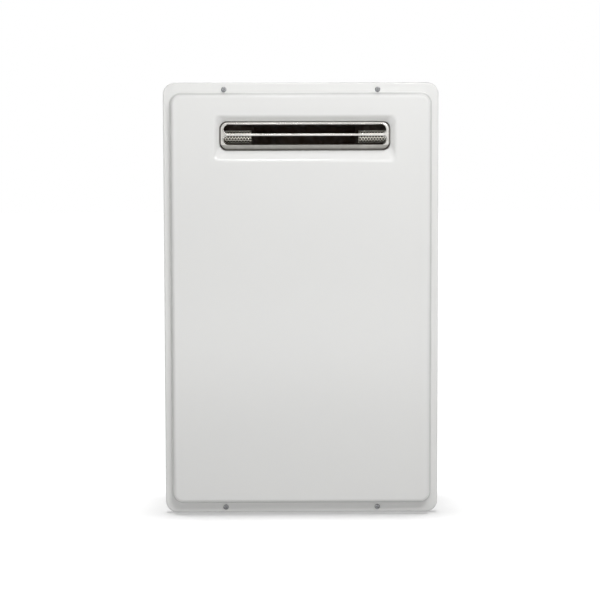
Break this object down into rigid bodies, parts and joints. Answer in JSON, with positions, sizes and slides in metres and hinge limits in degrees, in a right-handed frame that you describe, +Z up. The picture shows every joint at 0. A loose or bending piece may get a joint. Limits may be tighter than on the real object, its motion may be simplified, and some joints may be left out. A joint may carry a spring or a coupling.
{
  "type": "tankless gas water heater",
  "caption": "Wall-hung outdoor tankless gas water heater: white pressed casing with a raised front pan, a slotted stainless flue outlet near the top and pipe connections underneath.",
  "frame": {"origin": "centre of the bounding box's bottom face", "axes": "+Z up, -Y out of the front cover, +Y into the wall"},
  "size_m": [0.413, 0.175, 0.65],
  "materials": {
    "painted_casing": "smooth white powder coat",
    "stainless": "brushed stainless sheet",
    "perforated_stainless": "perforated stainless sheet",
    "zinc_steel": "bright zinc plate",
    "aluminised_sheet": "aluminised steel sheet",
    "copper": "plain copper",
    "brass": "cast and turned brass",
    "cast_aluminium": "die cast",
    "gasket_foam": "closed cell foam",
    "black_plastic": "moulded",
    "grey_plastic": "moulded",
    "white_plastic": "moulded",
    "ceramic": "glazed alumina",
    "window_glass": "heat proof glass",
    "board_green": "coated circuit board",
    "lead_red": "silicone sleeve",
    "lead_grey": "sleeved wires",
    "coil_blue": "moulded coil"
  },
  "bodies": {
    "casing": {"rear_case": "painted_casing", "upper_wall_bracket": "zinc_steel", "lower_wall_bracket": "zinc_steel", "bracket_rivets": "zinc_steel", "cover_clip_nuts": "zinc_steel", "stack_rails": "aluminised_sheet", "exhaust_hood": "aluminised_sheet", "flue_terminal": "stainless", "flue_guards": "perforated_stainless", "exchanger_shell": "copper", "exchanger_core": "copper", "chamber_coil": "copper", "burner_box": "aluminised_sheet", "burner_blades": "stainless", "air_plate": "aluminised_sheet", "air_plenum": "aluminised_sheet", "gas_manifold": "cast_aluminium", "gas_nozzles": "brass", "sight_window": "window_glass", "spark_electrode": "ceramic", "flame_rod": "ceramic", "fan_housing": "aluminised_sheet", "fan_faceplate": "aluminised_sheet", "fan_motor": "black_plastic", "gas_valve_body": "cast_aluminium", "solenoid_coils": "coil_blue", "gas_riser": "zinc_steel", "gas_nipple": "brass", "cold_fitting": "brass", "flow_sensor_body": "black_plastic", "servo_valve_body": "brass", "servo_motor": "white_plastic", "cold_pipe": "copper", "hot_pipe": "copper", "hot_fitting": "brass", "pipe_unions": "brass", "control_tray": "grey_plastic", "control_board": "board_green", "board_parts": "black_plastic", "igniter_box": "black_plastic", "limit_switch": "zinc_steel", "outlet_thermistor": "black_plastic", "ignition_lead": "lead_red", "wiring_harness": "lead_grey", "power_gland": "black_plastic", "remote_gland": "black_plastic", "stack_screws": "zinc_steel", "fitting_screws": "zinc_steel"},
    "cover": {"front_cover": "painted_casing", "cover_gasket": "gasket_foam", "cover_screws": "zinc_steel"},
    "fan_rotor": {"fan_impeller": "aluminised_sheet", "fan_shaft": "zinc_steel"},
    "flow_rotor": {"flow_turbine": "white_plastic"},
    "safety_valve": {"safety_plunger": "zinc_steel"},
    "modulating_valve": {"modulating_plunger": "zinc_steel"},
    "water_valve": {"servo_plug": "white_plastic"},
    "inlet_plug": {"inlet_filter_plug": "brass", "inlet_filter_screen": "perforated_stainless"},
    "hot_plug": {"hot_drain_plug": "brass"}
  },
  "joints": [
    {"name": "cover_pull", "type": "slide", "parent": "casing", "child": "cover", "axis": [0, -1, 0], "range_m": [0, 0.25]},
    {"name": "fan_spin", "type": "hinge", "parent": "casing", "child": "fan_rotor", "pos_m": [-0.004, 0, 0.1595], "axis": [0, 1, 0], "continuous": true},
    {"name": "flow_turbine_spin", "type": "hinge", "parent": "casing", "child": "flow_rotor", "pos_m": [-0.083, 0.0205, 0.06], "axis": [0, 0, 1], "continuous": true},
    {"name": "safety_valve_stroke", "type": "slide", "parent": "casing", "child": "safety_valve", "axis": [0, -1, 0], "range_m": [0, 0.004], "stiffness_N_per_m": 400, "springref_m": -0.002},
    {"name": "modulating_valve_stroke", "type": "slide", "parent": "casing", "child": "modulating_valve", "axis": [0, -1, 0], "range_m": [0, 0.004], "stiffness_N_per_m": 400, "springref_m": -0.002},
    {"name": "water_valve_turn", "type": "hinge", "parent": "casing", "child": "water_valve", "pos_m": [-0.083, 0.0205, 0.12], "axis": [0, 1, 0], "range_deg": [0, 90]},
    {"name": "inlet_plug_pull", "type": "slide", "parent": "casing", "child": "inlet_plug", "axis": [0, 0, -1], "range_m": [0, 0.05]},
    {"name": "hot_plug_pull", "type": "slide", "parent": "casing", "child": "hot_plug", "axis": [0, 0, -1], "range_m": [0, 0.04]}
  ]
}
